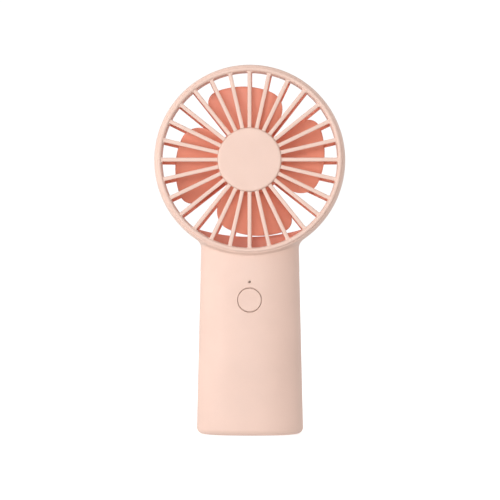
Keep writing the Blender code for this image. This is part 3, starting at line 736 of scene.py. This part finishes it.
def screw_posts():
    """Posts between the case halves, and the stepped screw holes through them."""
    spots = ((-19.0, 6.0, 9.8), (19.0, 6.0, 9.8), (-15.5, 88.0, 8.6), (15.5, 88.0, 8.6))
    post = 2.8
    start = -9.5
    thread = 1.1
    head = 1.95
    shoulder = 4.4
    stepped = ((thread, -7.5), (thread, shoulder), (head, shoulder), (head, 20.0))
    posts = []
    holes = []
    for x, z, end in spots:
        posts.append([circle_y(post, y, 20, (x, z)) for y in (start, end)])
        holes.append([circle_y(radius, y, 32, (x, z)) for radius, y in stepped])
    return bodies_from("posts", posts), bodies_from("bores", holes)


def foot_recess():
    """Oval recess for the foot pad, with clearance round and above it."""
    wide = PAD_HIGH.x + 0.15
    deep = PAD_HIGH.y + 0.15
    top = PAD_HIGH.z + 0.25
    return bodies_from("recess", [[oval(wide, deep, deep, z, 96) for z in (-2.0, top)]])


def front_openings():
    """Holes for the button and the light pipe, flared at the outside."""
    button = ((6.12, -9.0), (6.12, -14.15), (6.62, -14.65), (8.0, -16.0))
    light = ((0.6, -9.0), (0.6, -14.3), (0.85, -14.6), (1.6, -15.4))
    return bodies_from("front_cuts", [[circle_y(r, y, 96, (0.0, BUTTON_Z)) for r, y in button],
                                      [circle_y(r, y, 32, (0.0, LED_Z)) for r, y in light]])


def rear_openings():
    """Slot for the motor leads and the flared mouth of the charging port."""
    straight = 2.85
    mouth = ((1.85, 9.0), (1.85, 14.3), (2.35, 15.2), (3.0, 17.0))
    return bodies_from("rear_cuts", [slab((-2.0, 2.0), (4.4, 7.2), (87.0, 95.5)),
                                     [stadium_y(half + straight, half, y) for half, y in mouth]])


def case_shells(looks):
    """Both halves of the case, cut from one filleted outside."""
    far = 40.0
    steps = 192
    blank = turned("ring_solid", ring_outline(), steps, HEAD_CENTRE)
    bore = turned("ring_space", ring_bore_outline(), steps, HEAD_CENTRE)
    hollow = bodies_from("handle_space", [hollow_sections(64)])
    posts, holes = screw_posts()
    recess = foot_recess()
    for name, node, removed, openings, how, lip, reach in (
            ("case_front", "front_shell", (-SEAM_GAP, far), front_openings(), "DIFFERENCE",
             SEAM_LIP, SEAM_STEP),
            ("case_rear", "rear_shell", (-far, SEAM_GAP), rear_openings(), "UNION",
             SEAM_LIP - SEAM_CLEARANCE, SEAM_STEP + SEAM_GAP)):
        block = bodies_from("half_block", [slab((-60.0, 60.0), removed, (-10.0, 200.0))])
        inside = seam_spaces(lip, reach)
        solve(block, [(how, space) for space in inside])
        shell = bodies_from(name, [handle_sections(128)])
        solve(shell, [("DIFFERENCE", hollow), ("UNION", blank), ("DIFFERENCE", bore), ("UNION", posts)])
        soften_junction(shell.data)
        solve(shell, [("DIFFERENCE", guide) for guide in (block, holes, recess, openings)])
        finish_piece(shell, looks["shell_pink"], "housing", "shell_pink", node, sharp=28.0)
        drop(block, openings, *inside)
    drop(blank, bore, hollow, posts, holes, recess)


# ---------------------------------------------------------------- grilles

def rib_sections(angle, rows, ends):
    """Rounded bar along one rib; rows are (radius, face, back), ends the radii where it widens."""
    reach = 0.5
    soft = 0.34
    round_off = 0.1
    lean = 0.12
    back_bevel = 0.2
    sections = []
    side = Vector((math.cos(angle), 0.0, -math.sin(angle)))
    out = Vector((math.sin(angle), 0.0, math.cos(angle)))
    for radius, face, back in rows:
        flare = 0.0
        for end, sign in zip(ends, (1.0, -1.0)):
            gap = max(0.0, sign * (radius - end))
            if gap < reach:
                flare = max(flare, reach - math.sqrt(reach ** 2 - (reach - gap) ** 2))
        half = RIB_HALF_WIDTH + flare
        inward = math.copysign(1.0, back - face)
        edge = [(half - soft, face), (half - round_off, face + round_off * inward),
                (half, face + soft * inward), (half - lean, back - back_bevel * inward),
                (half - lean - back_bevel, back)]
        outline = [(-s, y) for s, y in edge] + edge[::-1]
        sections.append([tuple(Vector((0.0, y, HEAD_Z)) + side * s + out * radius) for s, y in outline])
    return sections


def rib_radii(inner, outer):
    """Stations along a rib, close together where it widens into the hub and rim."""
    steps = 9
    radii = [inner - 1.0, inner, inner + 0.12, inner + 0.3, inner + 0.5, inner + 1.0]
    radii += [inner + 1.0 + (outer - inner - 2.0) * step / steps for step in range(1, steps)]
    radii += [outer - 1.0, outer - 0.5, outer - 0.3, outer - 0.12, outer, outer + 0.5]
    return radii


def grille_bars(outer, face_at, back_at, seat_face, seat_back):
    """All the ribs of a grille out to a radius, with face and back depths from functions of the radius.

    Under the cap their face drops to the seat.
    """
    seat_radius = CAP_RADIUS - 0.9
    under_cap = CAP_RADIUS + 0.04
    ribs = []
    for index in range(RIB_COUNT):
        rows = [(radius, face_at(radius) if radius > under_cap else seat_face, back_at(radius))
                for radius in rib_radii(CAP_RADIUS - 0.2, outer)]
        rows[0] = (seat_radius, seat_face, seat_back)
        ribs.append(rib_sections(TURN * index / RIB_COUNT, rows, (CAP_RADIUS, outer)))
    return bodies_from("bars", ribs)


def front_grille(looks):
    """Front grille: crowned rim, skirt, hub seat and ribs with softened edges."""
    face = FACE_Y
    rib_face = face + 0.8
    rib_back = face + 3.0
    rib_seat = face + 1.7
    seat = face + 1.65
    hub_bore = 10.5
    rim_back = face + 1.25
    rim = [(OPENING, rib_back), (OPENING, GRILLE_HIGH.y), (SKIRT, GRILLE_HIGH.y), (SKIRT, rim_back),
           (RIM_RADIUS, rim_back), (RIM_RADIUS, face + 0.5), (RIM_RADIUS - 0.05, face + 0.28),
           (RIM_RADIUS - 0.16, face + 0.1), (RIM_RADIUS - 0.34, face), (OPENING + 1.05, face),
           (OPENING + 0.82, face + 0.07), (OPENING + 0.58, face + 0.22), (OPENING + 0.36, face + 0.48),
           (OPENING + 0.18, face + 0.84), (OPENING + 0.06, face + 1.25), (OPENING, face + 1.7)]
    hub = [(CAP_SEAT, seat), (CAP_SEAT, rib_back), (hub_bore, rib_back), (hub_bore, seat)]
    grille = rings("grille_front", [rim, hub], 224)
    bars = grille_bars(OPENING, lambda radius: rib_face, lambda radius: rib_back, rib_seat, rib_back)
    solve(grille, [("UNION", bars)])
    drop(bars)
    finish_piece(grille, looks["shell_pink"], "housing", "shell_pink", "front_grille")


def dome(radius):
    """Depth of the rear ribs' outer face at a radius."""
    knots = ((15.0, 17.2), (16.25, 17.2), (22.0, 16.7), (27.0, 15.9), (32.0, 14.75), (36.0, 13.6),
             (REAR_OPENING, 11.3), (48.0, 10.8))
    for (r0, y0), (r1, y1) in zip(knots, knots[1:]):
        if radius <= r1:
            return y0 + (y1 - y0) * (radius - r0) / (r1 - r0)
    return knots[-1][1]


def chin_sections():
    """Solid crescent that closes the bottom of the rear grille, with softened faces."""
    outer = 46.5
    arc_radius = 95.0
    low = -38.2
    half_span = 31.0
    steps = 40
    top = []
    for step in range(steps + 1):
        x = half_span * (1.0 - 2.0 * step / steps)
        top.append((x, low + arc_radius - math.sqrt(arc_radius ** 2 - x ** 2)))
    end = math.atan2(half_span, -top[0][1])
    bottom = []
    for step in range(1, steps):
        angle = -end + 2.0 * end * step / steps
        bottom.append((outer * math.sin(angle), -outer * math.cos(angle)))
    outline = top + bottom
    rows = ((9.3, 0.996, 0.18), (9.5, 1.0, 0.0), (10.8, 1.0, 0.0), (11.0, 0.996, 0.18))
    return [[(x * grow, y, HEAD_Z + z - sink) for x, z in outline] for y, grow, sink in rows]


def rear_grille(looks):
    """Rear grille: rim, thick motor hub, domed ribs and chin."""
    flange = RING_REAR_Y + 0.08
    spigot_end = REAR_REBATE_Y + 0.2
    hub_back = 16.3
    hub_front = 10.4
    bore = 4.0
    screw_circle = 9.0
    rim = [(REAR_OPENING, 11.1), (REAR_OPENING, spigot_end), (REAR_SPIGOT, spigot_end),
           (REAR_SPIGOT, flange), (REAR_RIM, flange), (REAR_RIM, 10.8), (REAR_RIM - 0.06, 11.0),
           (REAR_RIM - 0.2, 11.22), (REAR_RIM - 0.42, 11.36), (REAR_RIM - 0.7, 11.4),
           (REAR_OPENING + 0.25, 11.38), (REAR_OPENING + 0.06, 11.26)]
    hub = [(CAP_SEAT, hub_back), (CAP_SEAT, 15.0), (CAP_SEAT, hub_front + 0.3), (CAP_SEAT - 0.3, hub_front),
           (bore, hub_front), (bore, hub_back)]
    grille = rings("grille_rear", [rim, hub], 224)
    seat = hub_back - 0.05
    bars = grille_bars(REAR_OPENING, dome, lambda radius: min(15.0, dome(radius) - 2.0), seat, 14.8)
    chin = bodies_from("chin", [chin_sections()])
    spots = [(screw_circle * math.sin(turn), HEAD_Z + screw_circle * math.cos(turn))
             for turn in (0.0, TURN / 3.0, 2.0 * TURN / 3.0)]
    holes = bodies_from("seat_bores", [[circle_y(1.0, y, 20, spot) for y in (9.0, 14.2)] for spot in spots])
    solve(grille, [("UNION", bars), ("UNION", chin), ("DIFFERENCE", holes)])
    drop(bars, chin, holes)
    finish_piece(grille, looks["coral_plastic"], "housing", "coral_plastic", "rear_grille")


def hub_caps(looks):
    """Plain round caps with a generous soft edge and a barely crowned face."""
    soft = 1.1
    crown = 0.1
    for name, node, slot, low, high in (
            ("cap_front", "front_hub_cap", "shell_pink", CAP_HIGH.y, CAP_LOW.y),
            ("cap_rear", "rear_hub_cap", "coral_plastic", REAR_CAP_LOW.y, REAR_CAP_HIGH.y)):
        sign = 1.0 if high > low else -1.0
        edge = high - crown * sign
        profile = [(CAP_RADIUS - 0.6, low), (CAP_RADIUS - 0.1, low + 0.1 * sign),
                   (CAP_RADIUS, low + 0.3 * sign)]
        profile += quarter(CAP_RADIUS, high - 0.95 * sign, CAP_RADIUS - soft, edge, 10)[1:]
        profile += shallow_curve(CAP_RADIUS, edge, crown * sign)
        cap = turned(name, profile, 160, HEAD_CENTRE)
        finish_piece(cap, looks[slot], "housing", slot, node)


# ---------------------------------------------------------------- impeller

def blade_tip(degrees):
    """Tip radius of a blade at an angle from its middle, both corners rounded."""
    tip = BLADE_TIP + BLADE_TIP_SLOPE * degrees
    for edge, rounding in ((BLADE_END, 8.5), (BLADE_START, 12.0)):
        along = math.radians(abs(edge - degrees)) * tip
        if along < rounding:
            tip += math.sqrt(max(0.0, rounding ** 2 - (rounding - along) ** 2)) - rounding
    return tip


def blade_stations():
    """Angles across a blade, close together at both edges."""
    first = [BLADE_START + step for step in (0.0, 0.1, 0.4, 0.9, 1.6, 2.6, 4.0, 5.8, 8.0, 10.5)]
    last = [BLADE_END - step for step in (8.2, 6.5, 4.9, 3.5, 2.4, 1.5, 0.9, 0.45, 0.15, 0.0)]
    return first + [-24.0 + 3.0 * step for step in range(18)] + last


def blade_body(turn):
    """One twisted, lightly cambered blade with thinned, rounded edges and a thick root."""
    middle_y = -4.0
    camber = 0.55
    half_thickness = 0.42
    belly = 0.3
    span = 38.0
    edge_share = 0.22
    edge_degrees = 1.1
    root_extra = 0.9
    root_fade = 0.6
    root_edge_degrees = 2.5
    root_end = 19.0
    tip_start = 1.1
    tip_shares = (1.0, 0.96, 0.84, 0.6, 0.25)
    steps = 9
    sections = []
    for degrees in blade_stations():
        tip = blade_tip(degrees)
        edge = min(degrees - BLADE_START, BLADE_END - degrees)
        thin = min(1.0, edge_share + (1.0 - edge_share) * math.sqrt(min(1.0, edge / edge_degrees)))
        bulge = 1.0 - (degrees / span) ** 2
        body = half_thickness + belly * bulge
        centre = middle_y + BLADE_TWIST * degrees + camber * bulge
        angle = math.radians(turn - degrees)
        radii = [FAN_HUB - 0.8, FAN_HUB, FAN_HUB + 0.25, FAN_HUB + 0.6, FAN_HUB + 1.2, root_end]
        radii += [root_end + (tip - tip_start - root_end) * step / steps for step in range(1, steps + 1)]
        radii += [tip - 0.6, tip - 0.28, tip - 0.08, tip]
        shares = [1.0] * (len(radii) - len(tip_shares)) + list(tip_shares)
        front = []
        back = []
        for radius, share in zip(radii, shares):
            root = root_extra * math.exp(-max(0.0, radius - FAN_HUB) / root_fade)
            half = (body * thin + root * min(1.0, edge / root_edge_degrees)) * share
            x = radius * math.sin(angle)
            z = radius * math.cos(angle) + HEAD_Z
            front.append((x, centre - half, z))
            back.append((x, centre + half, z))
        sections.append(front + back[::-1])
    return sections


def impeller(looks):
    """Double-walled hub with a soft shoulder and four blades in one moulding."""
    wall = 1.4
    seat = 12.9
    seat_wall = 1.1
    front = FAN_LOW.y
    rear = FAN_HIGH.y
    bevel = 0.2
    floor = front + wall
    hub = [(seat, rear), (seat + seat_wall, rear), (seat + seat_wall, floor), (FAN_HUB - wall, floor),
           (FAN_HUB - wall, rear), (FAN_HUB - bevel, rear), (FAN_HUB, rear - bevel)]
    hub += quarter(FAN_HUB, front + 1.6, FAN_HUB - 1.5, front, 8)
    hub += [(6.0, front), (4.6, front + 0.3), (1.2, front + 0.3), (1.2, floor), (seat, floor)]
    fan = rings("fan_blades", [hub], 144)
    blades = bodies_from("blades", [blade_body(90.0 * index) for index in range(4)])
    solve(fan, [("UNION", blades)])
    drop(blades)
    finish_piece(fan, looks["coral_plastic"], "impeller", "coral_plastic", "impeller", sharp=40.0)


# ---------------------------------------------------------------- small pieces

def power_button(looks):
    """Round button, faintly dished, with a soft edge and a collar."""
    radius = 5.8
    collar = 6.6
    front = BUTTON_LOW.y
    rear = BUTTON_HIGH.y
    dish = 0.1
    profile = [(collar, rear), (collar, rear - 0.6), (radius, rear - 0.6)]
    profile += quarter(radius, front + 0.32, radius - 0.34, front, 7)
    profile += shallow_curve(radius, front, dish)
    button = turned("button_cap", profile, 128, (0.0, BUTTON_Z))
    finish_piece(button, looks["shell_pink"], "button", "shell_pink", "power_button")


def light_pipe(looks):
    """Small domed light pipe with its collar."""
    radius = 0.48
    collar = 1.2
    front = PIPE_LOW.y
    rear = PIPE_HIGH.y
    profile = [(collar, rear), (collar, rear - 0.8), (radius, rear - 0.8), (radius, front + 0.25),
               (radius - 0.03, front + 0.12), (radius - 0.12, front + 0.04), (0.2, front), (0.02, front)]
    pipe = turned("light_pipe", profile, 48, (0.0, LED_Z))
    finish_piece(pipe, looks["light_pipe_clear"], "housing", "light_pipe_clear", "led_light_pipe")


def cross_arms(x, z, top):
    """The two arms of a tapered cross recess, as two guides."""
    lean = 0.35
    rows = ((top - 0.8, 0.35, 0.1), (top + 0.3, 0.95, 0.17))
    arms = []
    for turn in (lean, lean + 0.25 * TURN):
        along = Vector((math.cos(turn), 0.0, math.sin(turn)))
        across = Vector((-math.sin(turn), 0.0, math.cos(turn)))
        arms.append(bodies_from("arm", [[
            [tuple(Vector((x, y, z)) + along * a * reach + across * b * half)
             for a, b in ((-1, -1), (1, -1), (1, 1), (-1, 1))] for y, reach, half in rows]]))
    return arms


def case_screws(looks):
    """Domed screws with a tapered cross recess."""
    shank = 0.8
    head = 1.6
    for number in range(1, 5):
        node = f"case_screw_{number}"
        low, high = box_mm(node)
        x = 0.5 * (low.x + high.x)
        z = 0.5 * (low.z + high.z)
        top = high.y
        profile = [(0.5, low.y), (shank, low.y + 0.5), (shank, top - 1.4), (head - 0.02, top - 1.4),
                   (head, top - 1.3), (head, top - 0.75), (head - 0.1, top - 0.45), (head - 0.3, top - 0.22),
                   (head - 0.6, top - 0.08), (head - 1.0, top), (0.02, top)]
        screw = turned(f"screw_{number}", profile, 48, (x, z))
        arms = cross_arms(x, z, top)
        solve(screw, [("DIFFERENCE", arm) for arm in arms])
        drop(*arms)
        finish_piece(screw, looks["bright_steel"], "housing", "bright_steel", node)


def charge_port(looks):
    """Drawn steel port shell with a rounded lip."""
    inner = PORT_LOW.y
    mouth = PORT_HIGH.y
    half = PORT_HIGH.x
    tall = 0.5 * (PORT_HIGH.z - PORT_LOW.z)
    rows = [(0.0, inner), (0.0, mouth - 0.15), (-0.05, mouth - 0.04), (-0.13, mouth), (-0.22, mouth - 0.03),
            (-0.3, mouth - 0.15), (-0.3, inner + 0.4)]
    shell = bodies_from("port_shell", [[stadium_y(half + grow, tall + grow, y) for grow, y in rows]])
    finish_piece(shell, looks["bright_steel"], "housing", "bright_steel", "usb_c_shell")


def foot_pad(looks):
    """Soft oval foot with a rounded rim and one shallow groove."""
    groove = 0.22
    rows = [(-0.02, PAD_HIGH.z), (0.0, PAD_HIGH.z - 0.1), (0.0, 0.25), (-0.08, 0.08), (-0.25, 0.0),
            (-1.6, 0.0), (-1.75, groove), (-2.15, groove), (-2.3, 0.0), (-4.0, 0.0), (-6.0, 0.0)]
    pad = bodies_from("foot_pad", [[oval(PAD_HIGH.x + grow, PAD_HIGH.y + grow, PAD_HIGH.y + grow, z, 96)
                                    for grow, z in rows]])
    finish_piece(pad, looks["foot_rubber"], "housing", "foot_rubber", "base_pad")


def dress_cad_nodes(looks):
    """Give every CAD node its own slot's procedural material."""
    for entry in frame["record"]["subparts"]:
        node = frame["nodes"][entry["node"]]
        look = looks[entry["material_slot"]]
        if len(node.material_slots) == 0:
            node.data.materials.append(look)
        for place in node.material_slots:
            place.material = look


def main():
    """Build the studio and every piece."""
    add_studio()
    looks = make_looks()
    case_shells(looks)
    front_grille(looks)
    rear_grille(looks)
    hub_caps(looks)
    impeller(looks)
    power_button(looks)
    light_pipe(looks)
    case_screws(looks)
    charge_port(looks)
    foot_pad(looks)
    dress_cad_nodes(looks)


main()
